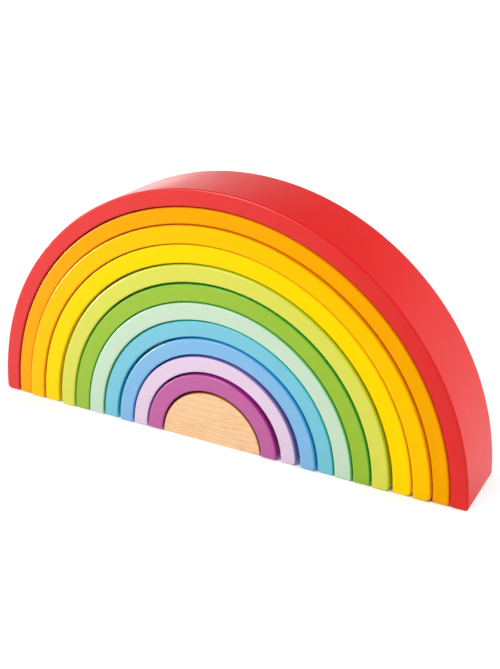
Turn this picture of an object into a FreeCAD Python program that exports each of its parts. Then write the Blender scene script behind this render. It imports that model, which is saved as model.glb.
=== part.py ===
import FreeCAD, Part

# Rainbow stacker: eleven wooden arches nested round a half disc, all loose and standing on one table.
# X runs along the set, Y from its front to its back and Z up. The origin is on the table, under the
# middle of the outermost arch. Lengths are in millimetres.

import math
import os
from collections import namedtuple

# Driving sizes
CORE_RADIUS = 38.3       # the half disc in the middle
WALL = 11.6              # usual thickness of an arch, between its inner and outer curve
PLAY = 1.4               # usual clearance between one piece and the next
DEPTH = 51.6             # front to back, the same for every piece
SAW_LOSS = 1.5           # what sawing and sanding take off a half ring, so its centre lies below the table
STAGGER = 1.0            # how far pieces stand forward or back of the middle line of the set
EDGE_ROUND = 1.25        # rounding of an arch's front and back edges
FOOT_ROUND = 1.1         # extra rounding of a foot's corners, over that of the edges
CORE_EDGE_ROUND = 0.8    # rounding of the half disc's front and back edges
CORE_FOOT_ROUND = 0.4    # extra rounding of the half disc's two corners

# A foot's two corners together take no more than this share of its wall.
FOOT_LIMIT_SHARE = 0.9

# How a piece stands in the set. Its forward place is a share of STAGGER, its place aside and how far it
# has settled are shares of PLAY, and its foot corners' extra rounding is in shares of FOOT_ROUND.
Stance = namedtuple("Stance", "forward_share aside_share settled_share corner_shares")

# An arch, with its wall as a share of WALL and the clearance inside it as a share of PLAY.
Arch = namedtuple("Arch", "name wall_share play_share stance")

# The corners of an arch's feet, in the order in which the tables below give them.
OUTER_LEFT, INNER_LEFT, INNER_RIGHT, OUTER_RIGHT = range(4)

CORE_NAME = "natural_core"
CORE_STANCE = Stance(-0.5, -0.75, -0.15, (1.0, 1.0))

# The arches from the inside out.
ARCHES = (
    Arch("purple_arch", 1.025, 0.6, Stance(0.35, -0.75, -0.95, (0.7, 0.3, 0.3, 0.7))),
    Arch("lilac_arch", 0.98, 1.4, Stance(0.25, 0.1, -1.05, (0.7, 0.3, 0.3, 1.6))),
    Arch("blue_arch", 0.95, 1.4, Stance(0.8, 1.0, -1.05, (0.5, 0.3, 0.3, 0.9))),
    Arch("turquoise_arch", 0.985, 1.35, Stance(-0.1, 0.5, -0.45, (0.5, 0.3, 0.3, 0.8))),
    Arch("mint_arch", 1.05, 0.6, Stance(0.6, 0.55, -0.45, (0.4, 0.3, 0.3, 0.4))),
    Arch("green_arch", 1.05, 0.4, Stance(0.35, 0.6, -0.45, (0.5, 0.3, 0.3, 0.5))),
    Arch("lime_arch", 1.01, 0.6, Stance(1.0, 0.75, -0.9, (0.5, 0.3, 0.3, 1.6))),
    Arch("yellow_arch", 1.08, 1.95, Stance(0.1, 0.35, 0.45, (1.0, 0.3, 0.5, 2.0))),
    Arch("amber_arch", 1.04, 0.8, Stance(0.45, 0.2, 0.85, (0.6, 0.3, 0.5, 2.5))),
    Arch("orange_arch", 0.945, 0.35, Stance(-1.0, 0.2, 0.75, (0.5, 0.3, 0.3, 0.4))),
    Arch("red_arch", 0.99, 0.55, Stance(-1.0, 0.0, 0.75, (1.6, 0.3, 0.3, 0.3))),
)

# A corner of a foot: where its arc leaves the table, its middle, and where it meets the curve.
Corner = namedtuple("Corner", "on_table middle on_curve")

LEFT, RIGHT = -1, 1


def place(x, y, z):
    """A point of the model."""
    return FreeCAD.Vector(x, y, z)


def curve_centre(stance):
    """Centre of a piece's curves, in the plane of its front face."""
    front = -DEPTH / 2 - stance.forward_share * STAGGER
    below = SAW_LOSS + stance.settled_share * PLAY
    return place(stance.aside_share * PLAY, front, -below)


def corner_round(share, wall):
    """Rounding of one corner of an arch's foot, held within its half of the foot."""
    return min(EDGE_ROUND + share * FOOT_ROUND, FOOT_LIMIT_SHARE * wall / 2)


def foot_corner(centre, radius, rounding, side, outer):
    """The corner between the table and a curve: outer says whether the wood is inside that curve."""
    reach = radius - rounding if outer else radius + rounding
    rise = rounding - centre.z
    out = side * math.sqrt(reach ** 2 - rise ** 2)
    middle_of_arc = centre + place(out, 0, rise)
    to_table = place(0, 0, -1)
    to_curve = place(out, 0, rise).normalize() * (1 if outer else -1)
    halfway = (to_table + to_curve).normalize()
    return Corner(
        middle_of_arc + to_table * rounding,
        middle_of_arc + halfway * rounding,
        middle_of_arc + to_curve * rounding,
    )


def arc(start, middle, end):
    """An arc's edge, through three points."""
    return Part.Arc(start, middle, end).toShape()


def over_the_top(right, left, centre, radius):
    """The long arc of a curve, from its right corner over its top to its left corner."""
    return arc(right.on_curve, centre + place(0, 0, radius), left.on_curve)


def solid_from(edges, rounding):
    """The outline's edges carried back through the depth, with its front and back edges rounded."""
    face = Part.Face(Part.Wire(edges))
    solid = face.extrude(place(0, DEPTH, 0))
    rims = [edge for edge in solid.Edges if edge.BoundBox.YLength < DEPTH / 2]
    return solid.makeFillet(rounding, rims)


def core():
    """The half disc that the arches stand round."""
    centre = curve_centre(CORE_STANCE)
    left, right = (
        foot_corner(centre, CORE_RADIUS, CORE_EDGE_ROUND + share * CORE_FOOT_ROUND, side, True)
        for share, side in zip(CORE_STANCE.corner_shares, (LEFT, RIGHT))
    )
    edges = [
        arc(right.on_table, right.middle, right.on_curve),
        over_the_top(right, left, centre, CORE_RADIUS),
        arc(left.on_curve, left.middle, left.on_table),
        Part.LineSegment(left.on_table, right.on_table).toShape(),
    ]
    return solid_from(edges, CORE_EDGE_ROUND)


def arch(stance, inner_radius, wall):
    """An arch between two curves with one centre, cut off level at the table."""
    centre = curve_centre(stance)
    outer_radius = inner_radius + wall
    rounds = [corner_round(share, wall) for share in stance.corner_shares]
    outer_left = foot_corner(centre, outer_radius, rounds[OUTER_LEFT], LEFT, True)
    inner_left = foot_corner(centre, inner_radius, rounds[INNER_LEFT], LEFT, False)
    inner_right = foot_corner(centre, inner_radius, rounds[INNER_RIGHT], RIGHT, False)
    outer_right = foot_corner(centre, outer_radius, rounds[OUTER_RIGHT], RIGHT, True)
    edges = [
        arc(outer_right.on_table, outer_right.middle, outer_right.on_curve),
        over_the_top(outer_right, outer_left, centre, outer_radius),
        arc(outer_left.on_curve, outer_left.middle, outer_left.on_table),
        Part.LineSegment(outer_left.on_table, inner_left.on_table).toShape(),
        arc(inner_left.on_table, inner_left.middle, inner_left.on_curve),
        over_the_top(inner_right, inner_left, centre, inner_radius),
        arc(inner_right.on_curve, inner_right.middle, inner_right.on_table),
        Part.LineSegment(inner_right.on_table, outer_right.on_table).toShape(),
    ]
    return solid_from(edges, EDGE_ROUND)


def nest():
    """Every piece by name, from the half disc outwards."""
    pieces = {CORE_NAME: core()}
    radius = CORE_RADIUS
    for each in ARCHES:
        radius += each.play_share * PLAY
        wall = each.wall_share * WALL
        pieces[each.name] = arch(each.stance, radius, wall)
        radius += wall
    return pieces


def main():
    """Writes each piece to its own file."""
    os.makedirs("parts", exist_ok=True)
    for name, piece in nest().items():
        piece.exportStep(f"parts/{name}.step")
        print(name, "valid" if piece.isValid() else "not valid", round(piece.Volume))


main()
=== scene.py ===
"""A wooden nesting rainbow in a plain pale studio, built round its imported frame.

Eleven painted half-ring arches stand loose round a bare beech half disc. Every piece is a solid whose
shape follows one rule: a front outline of arcs with softened feet, carried back through the depth of
the set with its rims rounded. Geometry Nodes trees hold that rule, and each piece gives it its sizes.
"""

from __future__ import annotations

import logging
import math
from dataclasses import dataclass
from enum import Enum
from typing import Any

import bpy
from mathutils import Matrix, Vector

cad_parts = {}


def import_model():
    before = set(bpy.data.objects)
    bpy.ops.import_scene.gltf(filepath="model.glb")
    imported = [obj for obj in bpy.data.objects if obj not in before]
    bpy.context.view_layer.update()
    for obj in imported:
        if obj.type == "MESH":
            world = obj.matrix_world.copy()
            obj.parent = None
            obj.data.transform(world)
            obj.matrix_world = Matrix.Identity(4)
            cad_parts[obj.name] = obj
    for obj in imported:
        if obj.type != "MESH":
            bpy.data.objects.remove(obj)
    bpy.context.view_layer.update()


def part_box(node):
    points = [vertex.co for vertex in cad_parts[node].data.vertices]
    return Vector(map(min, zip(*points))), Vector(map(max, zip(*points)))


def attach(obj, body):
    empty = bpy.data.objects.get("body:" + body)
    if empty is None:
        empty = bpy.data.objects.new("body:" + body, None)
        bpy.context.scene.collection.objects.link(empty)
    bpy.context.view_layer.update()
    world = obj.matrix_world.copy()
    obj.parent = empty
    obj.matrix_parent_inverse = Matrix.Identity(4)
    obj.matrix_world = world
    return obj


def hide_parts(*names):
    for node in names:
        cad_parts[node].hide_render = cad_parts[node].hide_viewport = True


log = logging.getLogger("rainbow")

MM = 0.001

# The name under which a mesh says how near a point is to the middle of a rounded rim.
RIM = "rim"

# What noise is on average.
NOISE_MIDDLE = 0.5

# Kinds of socket, as the node interface names them.
FLOAT = "NodeSocketFloat"
WHOLE = "NodeSocketInt"
SHAPE = "NodeSocketGeometry"
VECTOR = "NodeSocketVector"
FINISH = "NodeSocketMaterial"

Socket = bpy.types.NodeSocket
Place = tuple[float, float, float]
Colour = tuple[float, float, float, float]
Range = tuple[float, float]


def linear(red: int, green: int, blue: int) -> Colour:
    """Turns a colour as a screen shows it into the linear one that a shader takes.

    Args:
        red: Red, from 0 to 255.
        green: Green, from 0 to 255.
        blue: Blue, from 0 to 255.

    Returns:
        The linear colour, with full alpha.
    """

    def channel(level: int) -> float:
        """Gives one channel as a linear share, by the usual curve of a screen."""
        share = level / 255
        return share / 12.92 if share <= 0.04045 else ((share + 0.055) / 1.055) ** 2.4

    return channel(red), channel(green), channel(blue), 1.0


class Graph:
    """A node tree being written, with short ways to add its nodes and sockets."""

    def __init__(self, tree: bpy.types.NodeTree) -> None:
        """Starts on a tree.

        Args:
            tree: The geometry or shader tree to write.
        """
        self.tree = tree
        self._entry: bpy.types.Node | None = None
        self._exit: bpy.types.Node | None = None

    def node(self, kind: str, feeds: dict[str | int, Any] | None = None, **settings: Any) -> bpy.types.Node:
        """Adds a node.

        Args:
            kind: The node's type name.
            feeds: What each input gets, by name or number: a socket to link or a value to hold.
            settings: The node's own options, such as its operation.

        Returns:
            The new node.
        """
        made = self.tree.nodes.new(kind)
        for name, value in settings.items():
            setattr(made, name, value)
        for key, value in (feeds or {}).items():
            self.feed(made.inputs[key], value)
        return made

    def feed(self, socket: Socket, value: Any) -> None:
        """Links a socket into an input, or sets the input's own value.

        Args:
            socket: The input.
            value: The socket or the value that it gets.
        """
        if isinstance(value, Socket):
            self.tree.links.new(value, socket)
        else:
            socket.default_value = value

    @staticmethod
    def found(sockets: Any, identifier: str) -> Socket:
        """Finds a socket of a node by its identifier."""
        return next(socket for socket in sockets if socket.identifier == identifier)

    def take(self, name: str, kind: str, value: Any = None) -> Socket:
        """Adds a named input to the tree.

        Args:
            name: What the input is called.
            kind: Its socket type.
            value: What it holds until a user of the tree says otherwise.

        Returns:
            The socket that carries the input inside the tree.
        """
        item = self.tree.interface.new_socket(name, in_out="INPUT", socket_type=kind)
        if value is not None:
            item.default_value = value
        if self._entry is None:
            self._entry = self.tree.nodes.new("NodeGroupInput")
        return self.found(self._entry.outputs, item.identifier)

    def give(self, name: str, kind: str, source: Socket) -> None:
        """Adds a named output to the tree.

        Args:
            name: What the output is called.
            kind: Its socket type.
            source: The socket that it passes on.
        """
        item = self.tree.interface.new_socket(name, in_out="OUTPUT", socket_type=kind)
        if self._exit is None:
            self._exit = self.tree.nodes.new("NodeGroupOutput")
        self.tree.links.new(source, self.found(self._exit.inputs, item.identifier))

    def math(self, operation: str, *values: Any, clamp: bool = False) -> Socket:
        """Adds a sum.

        Args:
            operation: The operation's name, such as ADD.
            values: One to three sockets or numbers.
            clamp: Whether the result is held between 0 and 1.

        Returns:
            The result's socket.
        """
        feeds = dict(enumerate(values))
        return self.node("ShaderNodeMath", feeds, operation=operation, use_clamp=clamp).outputs[0]

    def product(self, first: Any, *others: Any) -> Socket:
        """Multiplies values one after another.

        Args:
            first: The first socket or number.
            others: The rest.

        Returns:
            The product's socket.
        """
        for other in others:
            first = self.math("MULTIPLY", first, other)
        return first

    def blend(self, *weighted: tuple[Socket, float]) -> Socket:
        """Adds values up, each by its own weight.

        Args:
            weighted: Each value's socket and its weight.

        Returns:
            The total's socket.
        """
        total: Any = 0.0
        for value, weight in weighted:
            total = self.math("MULTIPLY_ADD", value, weight, total)
        return total

    def same(self, whole: Socket, other: Any) -> Socket:
        """Gives 1 where two whole numbers are the same and 0 elsewhere."""
        return self.math("COMPARE", whole, other, 0.5)

    def vector(self, x: Any = 0.0, y: Any = 0.0, z: Any = 0.0) -> Socket:
        """Joins three numbers or sockets into a vector."""
        return self.node("ShaderNodeCombineXYZ", {0: x, 1: y, 2: z}).outputs[0]

    def parts(self, vector: Socket) -> tuple[Socket, ...]:
        """Splits a vector into its X, Y and Z."""
        return tuple(self.node("ShaderNodeSeparateXYZ", {0: vector}).outputs)

    def ease(self, value: Any, low: Any, high: Any, to_low: Any = 0.0, to_high: Any = 1.0) -> Socket:
        """Eases a value from one range into another and holds it there.

        Args:
            value: The value.
            low: Where its own range starts.
            high: Where its own range ends.
            to_low: What the start becomes.
            to_high: What the end becomes.

        Returns:
            The eased value's socket.
        """
        feeds = {"Value": value, "From Min": low, "From Max": high, "To Min": to_low, "To Max": to_high}
        return self.node("ShaderNodeMapRange", feeds, interpolation_type="SMOOTHSTEP").outputs[0]

    def tint(self, share: Any, under: Any, over: Any) -> Socket:
        """Lays one colour over another.

        Args:
            share: How much of the upper colour shows.
            under: The colour underneath.
            over: The colour on top.

        Returns:
            The mixed colour's socket.
        """
        made = self.node("ShaderNodeMix", data_type="RGBA")
        for name, value in (("Factor_Float", share), ("A_Color", under), ("B_Color", over)):
            self.feed(self.found(made.inputs, name), value)
        return self.found(made.outputs, "Result_Color")

    def noise(self, vector: Socket, seed: Any, scale: float, detail: float = 2.0) -> Socket:
        """Adds seeded noise.

        Args:
            vector: Where it is read.
            seed: The fixed number that picks this noise from all others.
            scale: How many features lie in one unit of the vector.
            detail: How many finer layers lie on it.

        Returns:
            The noise's value.
        """
        feeds = {"Vector": vector, "W": seed, "Scale": scale, "Detail": detail}
        return self.node("ShaderNodeTexNoise", feeds, noise_dimensions="4D").outputs[0]


class Joinery:
    """The Geometry Nodes trees that shape the pieces, each built once."""

    MERGE = 0.001 * MM
    UPRIGHT = (math.radians(90), 0.0, 0.0)

    # The section has two points at either end: one on the face, and the corner that gets rounded.
    END_POINTS = 2

    # Halfway round a rim two shares are each the root of a half, and twice their product is 1.
    HALFWAY_SCALE = 2.0

    # The unevenness of hand sanding, and where it starts and is full above the table.
    WAVES_PER_METRE = 42.0
    CLEAR_OF_TABLE = (1.5 * MM, 8 * MM)

    def __init__(self) -> None:
        """Builds the shared slab and the two trees that use it."""
        self.slab = self._slab()
        self.half_ring = self._half_ring()
        self.half_disc = self._half_disc()

    def _profile(self, g: Graph, sizes: dict[str, Socket]) -> Socket:
        """Draws the rounded section that runs round an outline, from the front face to the back one.

        Its X is outwards from the outline and its Y is the way back. A narrow flat strip beside each
        rounding keeps the shading of the flats even.

        Args:
            g: The tree being written.
            sizes: The slab's inputs by name.

        Returns:
            The section's open curve, whose points say how near they are to the middle of a rim.
        """
        depth, rim, bands = sizes["Depth"], sizes["Rim Round"], sizes["Depth Bands"]
        reach = g.math("ADD", rim, sizes["Strip"])
        index = g.node("GeometryNodeInputIndex").outputs[0]
        last = g.math("ADD", bands, 2 * self.END_POINTS)
        from_end = g.math("MINIMUM", index, g.math("SUBTRACT", last, index))
        on_face = g.same(from_end, 0)
        at_corner = g.same(from_end, 1)
        band_share = g.math("DIVIDE", g.math("SUBTRACT", index, self.END_POINTS), bands, clamp=True)
        side = g.math("SUBTRACT", depth, g.math("MULTIPLY", reach, 2.0))
        between = g.math("MULTIPLY_ADD", side, band_share, reach)
        at_front = g.math("LESS_THAN", index, self.END_POINTS)
        at_back = g.math("GREATER_THAN", index, g.math("ADD", bands, self.END_POINTS))
        out_to_face = g.math("MULTIPLY", g.math("SUBTRACT", at_back, at_front), reach)
        place = g.vector(g.product(on_face, reach, -1.0), g.math("ADD", between, out_to_face))
        points = g.node("GeometryNodePoints", {"Count": g.math("ADD", last, 1.0), "Position": place})
        curve = g.node("GeometryNodePointsToCurves", {0: points.outputs[0]})
        steps = g.math("MULTIPLY", at_corner, sizes["Round Steps"])
        feeds = {"Curve": curve.outputs[0], "Count": steps, "Radius": g.math("MULTIPLY", at_corner, rim)}
        rounded = g.node("GeometryNodeFilletCurve", feeds, mode="POLY")
        x, y, _ = g.parts(g.node("GeometryNodeInputPosition").outputs[0])
        in_face = g.math("DIVIDE", g.math("MULTIPLY", x, -1.0), rim, clamp=True)
        down_side = g.math("DIVIDE", g.math("MINIMUM", y, g.math("SUBTRACT", depth, y)), rim, clamp=True)
        off_face = g.math("SUBTRACT", 1.0, in_face)
        off_side = g.math("SUBTRACT", 1.0, down_side)
        nearness = g.product(off_face, off_side, self.HALFWAY_SCALE)
        feeds = {"Geometry": rounded.outputs[0], "Name": RIM, "Value": nearness}
        return g.node("GeometryNodeStoreNamedAttribute", feeds, data_type="FLOAT", domain="POINT").outputs[0]

    def _slab(self) -> bpy.types.NodeTree:
        """Writes the group that turns a front outline into a solid with rounded rims.

        Returns:
            The group. Its outline is a closed curve in the XY plane that runs anticlockwise.
        """
        g = Graph(bpy.data.node_groups.new("rounded_slab", "GeometryNodeTree"))
        outline = g.take("Outline", SHAPE)
        sizes = {name: g.take(name, FLOAT) for name in ("Depth", "Rim Round", "Strip", "Front", "Unevenness")}
        sizes |= {name: g.take(name, WHOLE) for name in ("Depth Bands", "Round Steps", "Seed")}
        path = g.node("GeometryNodeSetCurveNormal", {"Curve": outline}, mode="Z_UP")
        feeds = {"Curve": path.outputs[0], "Profile Curve": self._profile(g, sizes)}
        wall = g.node("GeometryNodeCurveToMesh", feeds).outputs[0]
        behind = g.math("MULTIPLY", sizes["Depth"], -1.0)
        faces_beside = g.node("GeometryNodeInputMeshEdgeNeighbors").outputs[0]
        _, _, level = g.parts(g.node("GeometryNodeInputPosition").outputs[0])
        in_front = g.math("GREATER_THAN", level, g.math("DIVIDE", behind, 2.0))
        front_edge = g.math("MULTIPLY", g.same(faces_beside, 1), in_front)
        loop = g.node("GeometryNodeMeshToCurve", {"Mesh": wall, "Selection": front_edge})
        face = g.node("GeometryNodeFillCurve", {"Curve": loop.outputs[0]}).outputs[0]
        moved = g.node("GeometryNodeTransform", {"Geometry": face, "Translation": g.vector(z=behind)})
        back = g.node("GeometryNodeFlipFaces", {"Mesh": moved.outputs[0]}).outputs[0]
        joined = g.node("GeometryNodeJoinGeometry")
        for part in (wall, face, back):
            g.feed(joined.inputs[0], part)
        feeds = {"Geometry": joined.outputs[0], "Distance": self.MERGE}
        closed = g.node("GeometryNodeMergeByDistance", feeds).outputs[0]
        feeds = {"Geometry": closed, "Translation": g.vector(y=sizes["Front"]), "Rotation": self.UPRIGHT}
        upright = g.node("GeometryNodeTransform", feeds).outputs[0]
        g.give("Solid", SHAPE, self._sanded(g, upright, sizes))
        return g.tree

    def _sanded(self, g: Graph, solid: Socket, sizes: dict[str, Socket]) -> Socket:
        """Takes the dead flatness off a standing solid, as hand sanding does, but not off its feet.

        Args:
            g: The tree being written.
            solid: The solid.
            sizes: The slab's inputs by name.

        Returns:
            The solid with its surfaces a few hundredths of a millimetre uneven, and smooth shaded.
        """
        position = g.node("GeometryNodeInputPosition").outputs[0]
        _, _, height = g.parts(position)
        wave = g.math("SUBTRACT", g.noise(position, sizes["Seed"], self.WAVES_PER_METRE), NOISE_MIDDLE)
        swell = g.product(wave, g.ease(height, *self.CLEAR_OF_TABLE), sizes["Unevenness"])
        outwards = g.node("GeometryNodeInputNormal").outputs[0]
        offset = g.node("ShaderNodeVectorMath", {0: outwards, "Scale": swell}, operation="SCALE").outputs[0]
        moved = g.node("GeometryNodeSetPosition", {"Geometry": solid, "Offset": offset}).outputs[0]
        return g.node("GeometryNodeSetShadeSmooth", {"Geometry": moved}).outputs[0]

    def _on_arc(self, g: Graph, share: Socket, radius: Socket, aside: Socket, below: Socket) -> Socket:
        """Gives a point of an arc that springs from the table and comes down to it again.

        Args:
            g: The tree being written.
            share: How far along the arc the point is, from its right end.
            radius: The arc's radius.
            aside: How far to the right of the middle its centre is.
            below: How far under the table its centre is.

        Returns:
            The point's place in the XY plane.
        """
        spring = g.math("ARCSINE", g.math("DIVIDE", below, radius))
        sweep = g.math("SUBTRACT", math.pi, g.math("MULTIPLY", spring, 2.0))
        angle = g.math("MULTIPLY_ADD", sweep, share, spring)
        x = g.math("MULTIPLY_ADD", radius, g.math("COSINE", angle), aside)
        y = g.math("SUBTRACT", g.math("MULTIPLY", radius, g.math("SINE", angle)), below)
        return g.vector(x, y)

    def _outline(self, g: Graph, count: Socket, place: Socket, corners: list[tuple[Any, Socket]]) -> Socket:
        """Joins points into a closed outline and rounds some of its corners.

        Args:
            g: The tree being written.
            count: How many points there are.
            place: Where each one is.
            corners: The number of each corner's point, and its rounding.

        Returns:
            The outline's curve.
        """
        points = g.node("GeometryNodePoints", {"Count": count, "Position": place})
        curve = g.node("GeometryNodePointsToCurves", {0: points.outputs[0]}).outputs[0]
        closed = g.node("GeometryNodeSetSplineCyclic", {"Geometry": curve, "Cyclic": True}).outputs[0]
        index = g.node("GeometryNodeInputIndex").outputs[0]
        radius: Any = 0.0
        for corner, rounding in corners:
            radius = g.math("MULTIPLY_ADD", g.same(index, corner), rounding, radius)
        steps = g.math("MULTIPLY", g.math("GREATER_THAN", radius, 0.0), g.take("Corner Steps", WHOLE))
        feeds = {"Curve": closed, "Count": steps, "Radius": radius}
        return g.node("GeometryNodeFilletCurve", feeds, mode="POLY").outputs[0]

    def _finished(self, g: Graph, outline: Socket) -> bpy.types.NodeTree:
        """Ends a tree: the outline goes through the slab, and the solid takes its material.

        Args:
            g: The tree being written.
            outline: The piece's front outline.

        Returns:
            The tree.
        """
        slab = g.node("GeometryNodeGroup", node_tree=self.slab)
        g.feed(slab.inputs["Outline"], outline)
        for item in self.slab.interface.items_tree:
            if item.in_out == "INPUT" and item.name != "Outline":
                g.feed(slab.inputs[item.name], g.take(item.name, item.socket_type))
        real = g.node("GeometryNodeRealizeInstances", {0: slab.outputs[0]}).outputs[0]
        dressed = g.node("GeometryNodeSetMaterial", {"Geometry": real, "Material": g.take("Finish", FINISH)})
        g.give("Solid", SHAPE, dressed.outputs[0])
        return g.tree

    def _half_ring(self) -> bpy.types.NodeTree:
        """Writes the tree of an arch: two arcs with one centre, joined by two level feet.

        Returns:
            The tree.
        """
        g = Graph(bpy.data.node_groups.new("half_ring", "GeometryNodeTree"))
        names = ("Outer Radius", "Inner Radius", "Aside", "Below Table")
        outer, inner, aside, below = (g.take(name, FLOAT) for name in names)
        names = ("Outer Right Round", "Outer Left Round", "Inner Left Round", "Inner Right Round")
        rounds = [g.take(name, FLOAT) for name in names]
        arc_points = g.take("Arc Points", WHOLE)
        count = g.math("MULTIPLY", arc_points, 2.0)
        last = g.math("SUBTRACT", count, 1.0)
        last_outer = g.math("SUBTRACT", arc_points, 1.0)
        index = g.node("GeometryNodeInputIndex").outputs[0]
        on_outer = g.math("LESS_THAN", index, arc_points)
        radius = g.math("MULTIPLY_ADD", g.math("SUBTRACT", outer, inner), on_outer, inner)
        share = g.math("DIVIDE", g.math("MINIMUM", index, g.math("SUBTRACT", last, index)), last_outer)
        place = self._on_arc(g, share, radius, aside, below)
        corners = list(zip((0, last_outer, arc_points, last), rounds))
        return self._finished(g, self._outline(g, count, place, corners))

    def _half_disc(self) -> bpy.types.NodeTree:
        """Writes the tree of the block in the middle: one arc closed by its level base.

        Returns:
            The tree.
        """
        g = Graph(bpy.data.node_groups.new("half_disc", "GeometryNodeTree"))
        radius, aside, below = (g.take(name, FLOAT) for name in ("Radius", "Aside", "Below Table"))
        rounds = [g.take(name, FLOAT) for name in ("Right Round", "Left Round")]
        arc_points = g.take("Arc Points", WHOLE)
        last = g.math("SUBTRACT", arc_points, 1.0)
        share = g.math("DIVIDE", g.node("GeometryNodeInputIndex").outputs[0], last)
        place = self._on_arc(g, share, radius, aside, below)
        return self._finished(g, self._outline(g, arc_points, place, list(zip((0, last), rounds))))

    @staticmethod
    def cut(tree: bpy.types.NodeTree, name: str, sizes: dict[str, Any]) -> bpy.types.Object:
        """Makes one piece with a tree.

        Args:
            tree: The tree that shapes it.
            name: The new piece's name.
            sizes: What every input of the tree gets, by name.

        Returns:
            The piece as a plain mesh, at the origin with its place in its mesh.
        """
        blank = bpy.data.objects.new(f"{name}_blank", bpy.data.meshes.new(f"{name}_blank"))
        bpy.context.scene.collection.objects.link(blank)
        modifier = blank.modifiers.new(tree.name, "NODES")
        modifier.node_group = tree
        for item in tree.interface.items_tree:
            if item.in_out == "INPUT":
                modifier[item.identifier] = sizes[item.name]
        depsgraph = bpy.context.evaluated_depsgraph_get()
        mesh = bpy.data.meshes.new_from_object(
            blank.evaluated_get(depsgraph), preserve_all_data_layers=True, depsgraph=depsgraph
        )
        mesh.name = name
        empty_slots = [i for i, material in enumerate(mesh.materials) if material is None]
        for slot in reversed(empty_slots):
            mesh.materials.pop(index=slot)
        bpy.data.objects.remove(blank)
        piece = bpy.data.objects.new(name, mesh)
        bpy.context.scene.collection.objects.link(piece)
        return piece


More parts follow.
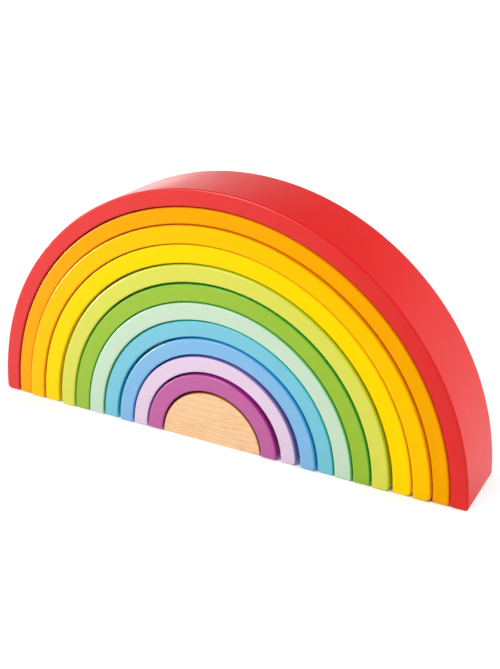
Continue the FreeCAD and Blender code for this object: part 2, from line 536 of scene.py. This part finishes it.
class Effects:
    """The shader node groups that the finishes share, each built once."""

    # How many finer layers lie on a noise that is plain, fibrous or broken up.
    PLAIN, FIBROUS, BROKEN = 1.0, 3.0, 4.0

    # The figure: how its rings wander, where its pith lies aside, and how each ring darkens and ends.
    WANDERS_PER_METRE = 16.0
    WANDER_ALONG_SHARE = 0.35
    WANDER_RINGS = 5.0
    PITH_ASIDE_SHARE = 0.3
    LATE_WOOD_POWER = 3.0
    RING_END = (1.0, 0.9)

    # Its flecks: how many lie along a fibre, how close they lie, and from which noise they show.
    FLECKS_PER_FIBRE = 5.0
    FLECK_SCALE = 0.8
    FLECK_SEED = 7.3
    FLECK_SHOWS = (0.56, 0.70)

    # The film's two kinds of unevenness.
    MOTTLES_PER_METRE = 45.0
    STIPPLES_PER_METRE = 1400.0

    # A gap's mouth, where shade is painted into the colour: how shaded it is, how far off the floor and how
    # much turned off the front face.
    GAP_SAMPLES = 6
    SHADED = (1.0, 0.65)
    OFF_FLOOR = (0.5 * MM, 4 * MM)
    OFF_FACE = (0.985, 0.6)

    # Where shade is painted on the outer rims: how far to the right of the middle, and how much turned
    # outwards.
    RIGHT_SIDE = (0.0, 20 * MM)
    TURNED_OUT = (0.1, 0.4)

    # The rubbed rims: how closely they are broken up, and how fast the wear falls off beside them.
    SCUFFS_PER_METRE = 160.0
    SCUFF_SHOWS = (0.35, 0.75)
    WEAR_POWER = 2.0

    def __init__(self) -> None:
        """Builds every group."""
        self.figure = self._figure()
        self.film = self._film()
        self.rubbed = self._rubbed()
        self.mouth = self._mouth_shade()
        self.painted_shade = self._right_rim_shade()

    def _figure(self) -> bpy.types.NodeTree:
        """Writes the figure of a plank whose grain runs along X.

        Returns:
            A group that gives growth rings, fibres and short ray flecks, each from 0 to 1.
        """
        g = Graph(bpy.data.node_groups.new("wood_figure", "ShaderNodeTree"))
        where = g.take("Vector", VECTOR)
        seed = g.take("Seed", FLOAT, 0.0)
        ring_width = g.take("Ring Width", FLOAT, 4 * MM)
        fibre_length = g.take("Fibre Length", FLOAT, 14 * MM)
        fibre_width = g.take("Fibre Width", FLOAT, 0.5 * MM)
        pith_depth = g.take("Pith Depth", FLOAT, 90 * MM)
        x, y, z = g.parts(where)
        slow = g.vector(g.math("MULTIPLY", x, self.WANDER_ALONG_SHARE), y, z)
        wander = g.math("SUBTRACT", g.noise(slow, seed, self.WANDERS_PER_METRE), NOISE_MIDDLE)
        drift = g.product(wander, ring_width, self.WANDER_RINGS)
        pith_aside = g.math("MULTIPLY", pith_depth, self.PITH_ASIDE_SHARE)
        across = g.math("POWER", g.math("ADD", y, pith_aside), 2.0)
        upwards = g.math("POWER", g.math("ADD", z, pith_depth), 2.0)
        from_pith = g.math("ADD", g.math("SQRT", g.math("ADD", across, upwards)), drift)
        ring_share = g.math("FRACT", g.math("DIVIDE", from_pith, ring_width))
        late_wood = g.math("POWER", ring_share, self.LATE_WOOD_POWER)
        along = g.math("DIVIDE", x, fibre_length)
        beside, above = (g.math("DIVIDE", place, fibre_width) for place in (y, z))
        fleck_place = g.vector(g.math("MULTIPLY", along, self.FLECKS_PER_FIBRE), beside, above)
        fleck_seed = g.math("ADD", seed, self.FLECK_SEED)
        flecks = g.noise(fleck_place, fleck_seed, self.FLECK_SCALE, self.PLAIN)
        g.give("Rings", FLOAT, g.math("MULTIPLY", late_wood, g.ease(ring_share, *self.RING_END)))
        g.give("Fibres", FLOAT, g.noise(g.vector(along, beside, above), seed, 1.0, self.FIBROUS))
        g.give("Flecks", FLOAT, g.ease(flecks, *self.FLECK_SHOWS))
        return g.tree

    def _film(self) -> bpy.types.NodeTree:
        """Writes the unevenness of a thin sprayed film.

        Returns:
            A group that gives a soft mottle and a fine stipple.
        """
        g = Graph(bpy.data.node_groups.new("paint_film", "ShaderNodeTree"))
        where = g.take("Vector", VECTOR)
        seed = g.take("Seed", FLOAT, 0.0)
        g.give("Mottle", FLOAT, g.noise(where, seed, self.MOTTLES_PER_METRE, self.PLAIN))
        g.give("Stipple", FLOAT, g.noise(where, seed, self.STIPPLES_PER_METRE, self.PLAIN))
        return g.tree

    def _mouth_shade(self) -> bpy.types.NodeTree:
        """Writes the painted shade in the mouths of the narrow gaps between the pieces, from how occluded
        they are.

        Returns:
            A group whose mask of painted shade is 0 in the open, and also deep in a gap, where nothing is
            seen.
        """
        g = Graph(bpy.data.node_groups.new("gap_mouth_shade", "ShaderNodeTree"))
        where = g.take("Vector", VECTOR)
        facing = g.take("Facing", VECTOR)
        reach = g.take("Reach", FLOAT, 4 * MM)
        start = g.take("Mouth Start", FLOAT, 17 * MM)
        end = g.take("Mouth End", FLOAT, 22 * MM)
        shade = g.node("ShaderNodeAmbientOcclusion", {"Distance": reach}, samples=self.GAP_SAMPLES)
        _, along, height = g.parts(where)
        _, frontness, _ = g.parts(facing)
        near_end = g.ease(g.math("ABSOLUTE", along), start, end)
        off_floor = g.ease(height, *self.OFF_FLOOR)
        off_face = g.ease(g.math("ABSOLUTE", frontness), *self.OFF_FACE)
        place = g.product(near_end, off_floor, off_face)
        g.give("Mouth", FLOAT, g.math("MULTIPLY", g.ease(shade.outputs["AO"], *self.SHADED), place))
        return g.tree

    def _right_rim_shade(self) -> bpy.types.NodeTree:
        """Writes the painted shade along the outer rims of the set's right side, which turn away from the
        light.

        Returns:
            A group that gives how much shade is painted there.
        """
        g = Graph(bpy.data.node_groups.new("painted_right_rim_shade", "ShaderNodeTree"))
        where = g.take("Vector", VECTOR)
        facing = g.take("Facing", VECTOR)
        rim = g.take("Rim", FLOAT, 0.0)
        amount = g.take("Amount", FLOAT, 0.9)
        across, _, _ = g.parts(where)
        aside, _, _ = g.parts(facing)
        outwards = g.math("MULTIPLY", aside, g.ease(across, *self.RIGHT_SIDE))
        on_rim = g.math("MULTIPLY", g.ease(outwards, *self.TURNED_OUT), g.math("SQRT", rim))
        g.give("Right Rim Shade", FLOAT, g.math("MULTIPLY", on_rim, amount))
        return g.tree

    def _rubbed(self) -> bpy.types.NodeTree:
        """Writes where handling and sanding have thinned the film along the rims.

        Returns:
            A group that gives the wear as a broken mask.
        """
        g = Graph(bpy.data.node_groups.new("rubbed_rim", "ShaderNodeTree"))
        where = g.take("Vector", VECTOR)
        seed = g.take("Seed", FLOAT, 0.0)
        rim = g.take("Rim", FLOAT, 0.0)
        amount = g.take("Amount", FLOAT, 0.2)
        broken = g.ease(g.noise(where, seed, self.SCUFFS_PER_METRE, self.BROKEN), *self.SCUFF_SHOWS)
        near_rim = g.math("POWER", rim, self.WEAR_POWER)
        g.give("Wear", FLOAT, g.math("MULTIPLY", near_rim, g.math("MULTIPLY", broken, amount), clamp=True))
        return g.tree


class Sheen(Enum):
    """How a surface takes the light: its roughness, and how mirror-like it is."""

    SATIN = (0.31, 0.75)
    SANDED = (0.62, 0.20)

    @property
    def roughness(self) -> float:
        """Gives the roughness of the surface."""
        return self.value[0]

    @property
    def mirror(self) -> float:
        """Gives how mirror-like the surface is."""
        return self.value[1]


@dataclass(frozen=True)
class Finish:
    """What every finish shares: a name, a seed for its noise, its sheen and the size of its fibres."""

    name: str
    seed: float
    sheen: Sheen
    fibre_length: float = 14 * MM
    fibre_width: float = 0.5 * MM

    def start(self) -> tuple[bpy.types.Material, Graph, bpy.types.Node]:
        """Makes the material, with what is the same all over the surface.

        Returns:
            The material, its graph and its shader.
        """
        material = bpy.data.materials.new(self.name)
        material.use_nodes = True
        g = Graph(material.node_tree)
        shader = next(n for n in g.tree.nodes if n.type == "BSDF_PRINCIPLED")
        shader.inputs["Specular IOR Level"].default_value = self.sheen.mirror
        return material, g, shader

    def place(self, g: Graph, *groups: bpy.types.NodeTree) -> dict[str, Socket]:
        """Places shared effects in the material, each with this finish's own values.

        Args:
            g: The material's graph.
            groups: The effects.

        Returns:
            The outputs of the effects by name.
        """
        coordinates = g.node("ShaderNodeTexCoord").outputs
        values = {
            "Vector": coordinates["Object"],
            "Facing": coordinates["Normal"],
            "Rim": g.node("ShaderNodeAttribute", attribute_name=RIM).outputs["Fac"],
            "Seed": self.seed,
            "Fibre Length": self.fibre_length,
            "Fibre Width": self.fibre_width,
        }
        outputs: dict[str, Socket] = {}
        for group in groups:
            placed = g.node("ShaderNodeGroup", node_tree=group)
            for name, value in values.items():
                if name in placed.inputs:
                    g.feed(placed.inputs[name], value)
            outputs |= {socket.name: socket for socket in placed.outputs}
        return outputs

    def relief(self, g: Graph, shader: bpy.types.Node, height: Socket, rise: float) -> None:
        """Gives the surface a fine relief.

        Args:
            g: The material's graph.
            shader: Its shader.
            height: The height's field, from 0 to 1.
            rise: The height that 1 stands for, in metres.
        """
        feeds = {"Height": height, "Distance": rise, "Strength": 1.0}
        g.feed(shader.inputs["Normal"], g.node("ShaderNodeBump", feeds).outputs[0])


@dataclass(frozen=True, kw_only=True)
class Paint(Finish):
    """A thin satin paint on sanded wood, through which the grain tells faintly."""

    # Its colour, the deeper colour painted in as shade at gap mouths and right-side rims, and how white its
    # glint is.
    colour: Colour
    shade_colour: Colour
    glint: float

    # How much the grain and the film deepen it, and what it is where it is deepest.
    deepening: float = 0.10
    ring_share: float = 0.55
    fibre_share: float = 0.75
    mottle_share: float = 0.6
    deep_power: float = 1.25
    deep_share: float = 0.92

    # How much of the paler colour shows on rubbed rims, and how far that one is towards white.
    thinning: float = 0.16
    thin_share: float = 0.35

    # How the mottle spreads its roughness, and how much rougher it is in the mouth of a gap.
    mottle_range: Range = (0.25, 0.75)
    roughness_spread: Range = (-0.02, 0.03)
    mouth_roughness: float = 0.4

    # Its relief, and how much of that is the film's own stipple.
    rise: float = 0.02 * MM
    stipple_share: float = 0.35

    def material(self, effects: Effects) -> bpy.types.Material:
        """Builds the paint's material.

        Args:
            effects: The shared node groups.

        Returns:
            The material.
        """
        material, g, shader = self.start()
        out = self.place(g, effects.figure, effects.film, effects.rubbed, effects.mouth, effects.painted_shade)
        rings, fibres, mottle = out["Rings"], out["Fibres"], out["Mottle"]
        deep = tuple(c**self.deep_power * self.deep_share for c in self.colour[:3]) + (1.0,)
        thin = tuple(c + (1 - c) * self.thin_share for c in self.colour[:3]) + (1.0,)
        grain = g.blend((rings, self.ring_share), (fibres, self.fibre_share), (mottle, self.mottle_share))
        grained = g.tint(g.math("MULTIPLY", grain, self.deepening), self.colour, deep)
        rubbed = g.tint(g.math("MULTIPLY", out["Wear"], self.thinning), grained, thin)
        # Painted shade: the gap mouths and the outer rims on the set's right side take the deeper shade
        # colour.
        painted_shade = g.math("MAXIMUM", out["Mouth"], out["Right Rim Shade"])
        g.feed(shader.inputs["Base Color"], g.tint(painted_shade, rubbed, self.shade_colour))
        shader.inputs["Specular Tint"].default_value = tuple(c + (1 - c) * self.glint for c in self.colour)
        spread = [self.sheen.roughness + change for change in self.roughness_spread]
        uneven = g.ease(mottle, *self.mottle_range, *spread)
        rough = g.math("MULTIPLY_ADD", out["Mouth"], self.mouth_roughness, uneven)
        g.feed(shader.inputs["Roughness"], rough)
        fine = g.blend((fibres, 1 - self.stipple_share), (out["Stipple"], self.stipple_share))
        self.relief(g, shader, fine, self.rise)
        return material


class Hue(Enum):
    """The paints: each one's colour, the deeper colour painted in as its shade, and how white its glint is.
    """

    PURPLE = (linear(192, 88, 158), linear(185, 20, 150), 1.0)
    LILAC = (linear(228, 203, 227), linear(140, 115, 190), 1.0)
    BLUE = (linear(124, 184, 229), linear(40, 165, 235), 1.0)
    TURQUOISE = (linear(114, 197, 219), linear(0, 190, 195), 1.0)
    MINT = (linear(197, 223, 197), linear(90, 195, 90), 1.0)
    GREEN = (linear(151, 191, 44), linear(40, 165, 45), 0.6)
    LIME = (linear(219, 219, 78), linear(200, 220, 0), 0.6)
    YELLOW = (linear(255, 216, 0), linear(255, 205, 0), 0.0)
    AMBER = (linear(250, 196, 0), linear(250, 165, 0), 0.0)
    ORANGE = (linear(245, 168, 0), linear(240, 130, 0), 0.0)
    RED = (linear(225, 22, 20), linear(215, 2, 10), 0.8)

    def paint(self, name: str, seed: float) -> Paint:
        """Makes the paint.

        Args:
            name: What its material is called.
            seed: The number that picks its own noise.

        Returns:
            The paint's finish.
        """
        colour, shade_colour, glint = self.value
        return Paint(name, seed, Sheen.SATIN, colour=colour, shade_colour=shade_colour, glint=glint)


@dataclass(frozen=True, kw_only=True)
class BareBeech(Finish):
    """Sanded beech with no finish: pale, with short darker ray flecks along the grain."""

    early_wood: Colour = linear(250, 210, 164)
    late_wood: Colour = linear(238, 189, 138)
    fleck: Colour = linear(208, 146, 92)
    # The darker brown painted in as shade in the mouths of the gaps.
    shade_colour: Colour = linear(185, 110, 60)

    # How much of the darker colours its rings, its fibres and its flecks show.
    ring_share: float = 0.8
    streak_range: Range = (0.35, 0.70)
    streak_share: float = 0.55
    fleck_share: float = 0.56

    # How its fibres spread its roughness.
    fibre_range: Range = (0.3, 0.7)
    roughness_spread: Range = (-0.06, 0.06)

    # Its relief, and how deep the flecks lie in it.
    rise: float = 0.04 * MM
    fleck_depth_share: float = 0.4

    def material(self, effects: Effects) -> bpy.types.Material:
        """Builds the wood's material.

        Args:
            effects: The shared node groups.

        Returns:
            The material.
        """
        material, g, shader = self.start()
        out = self.place(g, effects.figure, effects.mouth)
        rings, fibres, flecks = out["Rings"], out["Fibres"], out["Flecks"]
        ringed = g.tint(g.math("MULTIPLY", rings, self.ring_share), self.early_wood, self.late_wood)
        streaks = g.ease(fibres, *self.streak_range, 0.0, self.streak_share)
        streaked = g.tint(streaks, ringed, self.late_wood)
        flecked = g.tint(g.math("MULTIPLY", flecks, self.fleck_share), streaked, self.fleck)
        # Painted shade: the mouths of the gaps take the darker brown.
        g.feed(shader.inputs["Base Color"], g.tint(out["Mouth"], flecked, self.shade_colour))
        spread = [self.sheen.roughness + change for change in self.roughness_spread]
        g.feed(shader.inputs["Roughness"], g.ease(fibres, *self.fibre_range, *spread))
        self.relief(g, shader, g.blend((fibres, 1.0), (flecks, -self.fleck_depth_share)), self.rise)
        return material


@dataclass(frozen=True)
class NestSizes:
    """The driving sizes of the set, in metres, which are those of its frame, and how finely it is cut."""

    core_radius: float = 38.3 * MM
    wall: float = 11.6 * MM
    play: float = 1.4 * MM
    depth: float = 51.6 * MM
    saw_loss: float = 1.5 * MM
    stagger: float = 1.0 * MM
    rim_round: float = 1.25 * MM
    foot_round: float = 1.1 * MM
    core_rim_round: float = 0.8 * MM
    core_foot_round: float = 0.4 * MM
    foot_limit_share: float = 0.9
    strip: float = 0.2 * MM
    unevenness: float = 0.12 * MM
    arc_step: float = 2.4 * MM
    corner_room_share: float = 1.08
    depth_bands: int = 12
    round_steps: int = 6


@dataclass(frozen=True)
class Stance:
    """How a piece stands in the set, in shares of the set's sizes."""

    forward_share: float
    aside_share: float
    settled_share: float
    corner_shares: tuple[float, ...]

    def shared_inputs(self, sizes: NestSizes) -> dict[str, Any]:
        """Gives the inputs that say where a piece stands, and how finely it is cut.

        Args:
            sizes: The set's sizes.

        Returns:
            The inputs by name.
        """
        return {
            "Front": -sizes.depth / 2 - self.forward_share * sizes.stagger,
            "Aside": self.aside_share * sizes.play,
            "Below Table": sizes.saw_loss + self.settled_share * sizes.play,
            "Depth": sizes.depth,
            "Strip": sizes.strip,
            "Unevenness": sizes.unevenness,
            "Depth Bands": sizes.depth_bands,
            "Round Steps": sizes.round_steps,
            "Corner Steps": sizes.round_steps,
        }


@dataclass
class Piece:
    """One loose piece of the set, and the node of the frame that it stands for."""

    node: str
    slot: str
    stance: Stance
    finish: Paint | BareBeech
    sizes: NestSizes

    def arc_points(self, radius: float, largest_round: float) -> int:
        """Says how finely to cut an arc, so that a corner's rounding still fits in its first stretch.

        Args:
            radius: The arc's radius.
            largest_round: The largest rounding at its ends.

        Returns:
            The number of points on it.
        """
        step = max(self.sizes.arc_step, self.sizes.corner_room_share * largest_round)
        return int(math.pi * radius / step)

    def seated(self, piece: bpy.types.Object) -> bpy.types.Object:
        """Puts a finished mesh in its node's place and on its body.

        Args:
            piece: The mesh.

        Returns:
            The same object.
        """
        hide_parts(self.node)
        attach(piece, self.node)
        corners = [piece.matrix_world @ Vector(corner) for corner in piece.bound_box]
        off = 0.0
        for axis, (low, high) in enumerate(zip(*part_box(self.node))):
            places = [corner[axis] for corner in corners]
            off = max(off, abs(min(places) - low), abs(max(places) - high))
        log.info("%s: %d faces, within %.2f mm of its node", piece.name, len(piece.data.polygons), off / MM)
        return piece


@dataclass
class Core(Piece):
    """The bare half disc in the middle."""

    def build(self, joinery: Joinery, effects: Effects) -> bpy.types.Object:
        """Cuts and dresses the block.

        Args:
            joinery: The trees that shape the pieces.
            effects: The shared node groups.

        Returns:
            The finished piece.
        """
        sizes = self.sizes
        left, right = (sizes.core_rim_round + s * sizes.core_foot_round for s in self.stance.corner_shares)
        inputs = self.stance.shared_inputs(sizes) | {
            "Radius": sizes.core_radius,
            "Rim Round": sizes.core_rim_round,
            "Left Round": left,
            "Right Round": right,
            "Arc Points": self.arc_points(sizes.core_radius, max(left, right)),
            "Seed": int(self.finish.seed),
            "Finish": self.finish.material(effects),
        }
        return self.seated(joinery.cut(joinery.half_disc, f"{self.node}_beech", inputs))


@dataclass
class Arch(Piece):
    """One painted half ring."""

    inner_radius: float
    wall: float

    def build(self, joinery: Joinery, effects: Effects) -> bpy.types.Object:
        """Cuts and dresses the arch.

        Args:
            joinery: The trees that shape the pieces.
            effects: The shared node groups.

        Returns:
            The finished piece.
        """
        sizes = self.sizes
        limit = sizes.foot_limit_share * self.wall / 2
        rounds = [min(sizes.rim_round + s * sizes.foot_round, limit) for s in self.stance.corner_shares]
        outer_left, inner_left, inner_right, outer_right = rounds
        outer_points = self.arc_points(self.inner_radius + self.wall, max(outer_left, outer_right))
        inner_points = self.arc_points(self.inner_radius, max(inner_left, inner_right))
        inputs = self.stance.shared_inputs(sizes) | {
            "Outer Radius": self.inner_radius + self.wall,
            "Inner Radius": self.inner_radius,
            "Rim Round": sizes.rim_round,
            "Outer Left Round": outer_left,
            "Inner Left Round": inner_left,
            "Inner Right Round": inner_right,
            "Outer Right Round": outer_right,
            "Arc Points": min(outer_points, inner_points),
            "Seed": int(self.finish.seed),
            "Finish": self.finish.material(effects),
        }
        return self.seated(joinery.cut(joinery.half_ring, f"{self.node}_painted", inputs))


@dataclass(frozen=True)
class ArchPlan:
    """One row of the set's plan, from the inside out."""

    colour: str
    wall_share: float
    play_share: float
    stance: Stance
    hue: Hue


class Nest:
    """The whole set, from the half disc outwards."""

    CORE_STANCE = Stance(-0.5, -0.75, -0.15, (1.0, 1.0))
    PLANS = (
        ArchPlan("purple", 1.025, 0.6, Stance(0.35, -0.75, -0.95, (0.7, 0.3, 0.3, 0.7)), Hue.PURPLE),
        ArchPlan("lilac", 0.98, 1.4, Stance(0.25, 0.1, -1.05, (0.7, 0.3, 0.3, 1.6)), Hue.LILAC),
        ArchPlan("blue", 0.95, 1.4, Stance(0.8, 1.0, -1.05, (0.5, 0.3, 0.3, 0.9)), Hue.BLUE),
        ArchPlan("turquoise", 0.985, 1.35, Stance(-0.1, 0.5, -0.45, (0.5, 0.3, 0.3, 0.8)), Hue.TURQUOISE),
        ArchPlan("mint", 1.05, 0.6, Stance(0.6, 0.55, -0.45, (0.4, 0.3, 0.3, 0.4)), Hue.MINT),
        ArchPlan("green", 1.05, 0.4, Stance(0.35, 0.6, -0.45, (0.5, 0.3, 0.3, 0.5)), Hue.GREEN),
        ArchPlan("lime", 1.01, 0.6, Stance(1.0, 0.75, -0.9, (0.5, 0.3, 0.3, 1.6)), Hue.LIME),
        ArchPlan("yellow", 1.08, 1.95, Stance(0.1, 0.35, 0.45, (1.0, 0.3, 0.5, 2.0)), Hue.YELLOW),
        ArchPlan("amber", 1.04, 0.8, Stance(0.45, 0.2, 0.85, (0.6, 0.3, 0.5, 2.5)), Hue.AMBER),
        ArchPlan("orange", 0.945, 0.35, Stance(-1.0, 0.2, 0.75, (0.5, 0.3, 0.3, 0.4)), Hue.ORANGE),
        ArchPlan("red", 0.99, 0.55, Stance(-1.0, 0.0, 0.75, (1.6, 0.3, 0.3, 0.3)), Hue.RED),
    )

    BEECH = BareBeech("bare_beech", seed=3.0, sheen=Sheen.SANDED, fibre_length=26 * MM, fibre_width=0.32 * MM)

    # The paints' seeds follow on this one.
    SEED_BEFORE_PAINTS = 10.0

    def __init__(self, sizes: NestSizes) -> None:
        """Lays the set out.

        Args:
            sizes: Its driving sizes.
        """
        self.core = Core("natural_core", "natural_beech", self.CORE_STANCE, self.BEECH, sizes)
        self.arches: list[Arch] = []
        radius = sizes.core_radius
        for number, plan in enumerate(self.PLANS, start=1):
            radius += plan.play_share * sizes.play
            wall = plan.wall_share * sizes.wall
            slot = f"{plan.colour}_paint"
            paint = plan.hue.paint(slot, self.SEED_BEFORE_PAINTS + number)
            self.arches.append(Arch(f"{plan.colour}_arch", slot, plan.stance, paint, sizes, radius, wall))
            radius += wall

    def build(self) -> list[bpy.types.Object]:
        """Cuts and dresses every piece.

        Returns:
            The finished pieces, from the inside out.
        """
        joinery, effects = Joinery(), Effects()
        return [piece.build(joinery, effects) for piece in (self.core, *self.arches)]


class Reach(Enum):
    """Whether a lamp lights the set, and whether it shows as a glint in it."""

    LIT_AND_MIRRORED = (True, True)
    LIT = (True, False)
    MIRRORED = (False, True)


@dataclass(frozen=True)
class Softbox:
    """A large soft lamp."""

    name: str
    place: Place
    aim: Place
    width: float
    height: float
    watts: float
    reach: Reach = Reach.LIT_AND_MIRRORED

    def build(self) -> None:
        """Hangs the lamp, turned to its aim."""
        lamp = bpy.data.lights.new(self.name, "AREA")
        lamp.shape = "RECTANGLE"
        lamp.size, lamp.size_y = self.width, self.height
        lamp.energy = self.watts
        hung = bpy.data.objects.new(self.name, lamp)
        hung.visible_diffuse, hung.visible_glossy = self.reach.value
        hung.location = self.place
        hung.rotation_euler = (Vector(self.aim) - Vector(self.place)).to_track_quat("-Z", "Y").to_euler()
        bpy.context.scene.collection.objects.link(hung)
        log.info("%s: %.1f W", self.name, self.watts)


@dataclass(frozen=True)
class Studio:
    """A pale floor, a white surround and soft light.

    Before is on the camera's side of the set, and beyond is behind it. What is mirrored is what the
    set's satin faces reflect.
    """

    floor_half: float = 12.0
    floor_colour: Colour = (0.86, 0.86, 0.86, 1.0)

    # The floor glows where it is seen: a little by the set, fully far from it, and not in its crevices.
    floor_lift: float = 0.32
    floor_fade: Range = (0.35, 1.1)
    crevice_reach: float = 12 * MM
    crevice_fade: Range = (0.2, 0.5)
    crevice_samples: int = 8

    # How bright the mirrored floor is beyond, and before, where it dims to the right and slantwise.
    mirrored_beyond: float = 0.8
    mirrored_before: float = 1.1
    before_slant: float = -0.5
    before_fade: Range = (-0.17, 0.32)
    floor_turn: Range = (-0.06, 0.06)

    # The surround's light. Mirrored, it is bright up to one height and dark from another, each given in
    # degrees before and beyond.
    ambient: float = 0.51
    bright_up_to: Range = (28.0, 6.0)
    dark_from: Range = (60.0, 34.0)
    surround_turn: Range = (-0.2, 0.2)

    # How bright the mirrored right is, as a share of the left, and over what stretch it gets so.
    right_share: float = 0.65
    right_fade: Range = (-0.4, 0.4)
    right_share_before: float = 0.1
    right_fade_before: Range = (-0.3, 0.5)

    softboxes: tuple[Softbox, ...] = (
        Softbox("key_softbox", (-0.62, -1.30, 1.22), (0.0, 0.0, 0.06), 0.64, 0.64, 17.6),
        Softbox("left_softbox", (-1.25, -0.20, 0.28), (-0.10, 0.0, 0.06), 0.3, 0.5, 2.9),
        Softbox("left_glint", (-1.30, -0.15, 0.20), (-0.10, 0.0, 0.06), 0.4, 0.4, 12.0, Reach.MIRRORED),
        Softbox("side_softbox", (1.2, 0.45, 0.9), (0.0, 0.0, 0.06), 0.9, 0.9, 13.6, Reach.LIT),
        Softbox("back_softbox", (-0.95, 1.30, 0.10), (0.0, 0.0, 0.08), 0.8, 0.16, 0.8),
    )

    def build(self) -> None:
        """Sets the whole studio up."""
        self._floor()
        self._surround()
        for softbox in self.softboxes:
            softbox.build()

    @staticmethod
    def _any_ray(g: Graph, *kinds: str) -> Socket:
        """Picks rays out by their kind.

        Args:
            g: The material being written.
            kinds: The kinds of ray, as the light path names them.

        Returns:
            A socket that is 1 for rays of any of these kinds, and 0 for the rest.
        """
        path = g.node("ShaderNodeLightPath")
        share: Any = 0.0
        for kind in kinds:
            share = g.math("MAXIMUM", share, path.outputs[kind])
        return share

    def _dims_rightwards(self, g: Graph, aside: Socket) -> Socket:
        """Gives how bright the studio is beyond where it is mirrored, which falls from left to right."""
        return g.ease(aside, *self.right_fade, 1.0, self.right_share)

    def _floor_strength(self, g: Graph, place: Socket) -> tuple[Socket, Socket]:
        """Says how strongly the floor glows.

        Args:
            g: The floor's material.
            place: Where on the floor it is asked.

        Returns:
            The strengths where it is seen and where it is mirrored.
        """
        from_set = g.node("ShaderNodeVectorMath", {0: place}, operation="LENGTH").outputs["Value"]
        paleness = g.ease(from_set, *self.floor_fade, self.floor_lift, 1.0)
        feeds = {"Distance": self.crevice_reach}
        shade = g.node("ShaderNodeAmbientOcclusion", feeds, samples=self.crevice_samples)
        in_open = g.ease(shade.outputs["AO"], *self.crevice_fade)
        seen = self._any_ray(g, "Is Camera Ray", "Is Transmission Ray")
        x, y, _ = g.parts(place)
        slantwise = g.math("MULTIPLY_ADD", y, self.before_slant, x)
        before = g.ease(slantwise, *self.before_fade, self.mirrored_before, self.right_share_before)
        beyond = g.ease(from_set, *self.floor_fade, self.mirrored_beyond, self._dims_rightwards(g, x))
        return g.product(seen, paleness, in_open), g.ease(y, *self.floor_turn, before, beyond)

    def _floor(self) -> None:
        """Lays a large pale floor that keeps the set's shadow and is white elsewhere in the picture."""
        half = self.floor_half
        mesh = bpy.data.meshes.new("floor")
        corners = [(-half, -half, 0), (half, -half, 0), (half, half, 0), (-half, half, 0)]
        mesh.from_pydata(corners, [], [(0, 1, 2, 3)])
        material = bpy.data.materials.new("pale_floor")
        material.use_nodes = True
        g = Graph(material.node_tree)
        g.tree.nodes.clear()
        lifted, mirrored = self._floor_strength(g, g.node("ShaderNodeTexCoord").outputs["Object"])
        matt = g.node("ShaderNodeBsdfDiffuse", {"Color": self.floor_colour})
        lift = g.node("ShaderNodeEmission", {"Strength": lifted})
        looked_at = g.node("ShaderNodeAddShader", {0: matt.outputs[0], 1: lift.outputs[0]})
        glow = g.node("ShaderNodeEmission", {"Strength": mirrored})
        feeds = {0: self._any_ray(g, "Is Glossy Ray"), 1: looked_at.outputs[0], 2: glow.outputs[0]}
        both = g.node("ShaderNodeMixShader", feeds)
        g.node("ShaderNodeOutputMaterial", {"Surface": both.outputs[0]})
        mesh.materials.append(material)
        floor = bpy.data.objects.new("floor", mesh)
        bpy.context.scene.collection.objects.link(floor)

    def _surround(self) -> None:
        """Gives soft light from all round. It is white where it is seen, and mirrored it dims overhead."""
        world = bpy.data.worlds.new("pale_surround")
        world.use_nodes = True
        g = Graph(world.node_tree)
        g.tree.nodes.clear()
        seen = self._any_ray(g, "Is Camera Ray", "Is Transmission Ray")
        mirrored = self._any_ray(g, "Is Glossy Ray")
        aside, ahead, climb = g.parts(g.node("ShaderNodeTexCoord").outputs["Generated"])
        limits = (self.bright_up_to, self.dark_from)
        climbs = ([math.sin(math.radians(angle)) for angle in limit] for limit in limits)
        low, high = (g.ease(ahead, *self.surround_turn, *climb_pair) for climb_pair in climbs)
        upwards = g.ease(climb, low, high, 1.0, 0.0)
        before = g.ease(aside, *self.right_fade_before, 1.0, self.right_share_before)
        rightwards = g.ease(ahead, *self.surround_turn, before, self._dims_rightwards(g, aside))
        dimming = g.math("MULTIPLY", upwards, rightwards)
        lit = g.math("MULTIPLY_ADD", seen, 1.0 - self.ambient, self.ambient)
        strength = g.math("MULTIPLY_ADD", mirrored, g.math("SUBTRACT", dimming, lit), lit)
        light = g.node("ShaderNodeBackground", {"Color": (1.0, 1.0, 1.0, 1.0), "Strength": strength})
        g.node("ShaderNodeOutputWorld", {"Surface": light.outputs[0]})
        bpy.context.scene.world = world


@dataclass(frozen=True)
class PhotoCamera:
    """The camera at the photograph's own viewing angle, in the set's frame, with its angles in degrees."""

    place: Place = (323.78 * MM, -565.75 * MM, 356.06 * MM)
    azimuth: float = 28.539
    elevation: float = 23.559
    roll: float = -0.106
    lens_mm: float = 56.22
    sensor_mm: float = 36.0

    def build(self) -> None:
        """Places the camera and makes it the scene's own."""
        turn, dip, roll = (math.radians(a) for a in (self.azimuth, self.elevation, self.roll))
        forward = Vector((-math.sin(turn) * math.cos(dip), math.cos(turn) * math.cos(dip), -math.sin(dip)))
        level = Vector((math.cos(turn), math.sin(turn), 0.0))
        upright = level.cross(forward)
        right = math.cos(roll) * level + math.sin(roll) * upright
        up = math.cos(roll) * upright - math.sin(roll) * level
        data = bpy.data.cameras.new("photo_camera")
        data.lens, data.sensor_width = self.lens_mm, self.sensor_mm
        camera = bpy.data.objects.new("photo_camera", data)
        turned = Matrix((right, up, -forward)).transposed().to_4x4()
        camera.matrix_world = Matrix.Translation(self.place) @ turned
        bpy.context.scene.collection.objects.link(camera)
        bpy.context.scene.camera = camera
        log.info("%s: %.1f mm lens", camera.name, self.lens_mm)


def main() -> None:
    """Builds the set, its studio and its camera round the frame."""
    logging.basicConfig(level=logging.INFO, format="%(name)s %(message)s")
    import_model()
    PhotoCamera().build()
    pieces = Nest(NestSizes()).build()
    log.info("%d pieces stand in the set", len(pieces))
    Studio().build()
    bpy.context.scene.view_settings.view_transform = "Standard"
    bpy.context.view_layer.update()


if __name__ == "__main__":
    main()
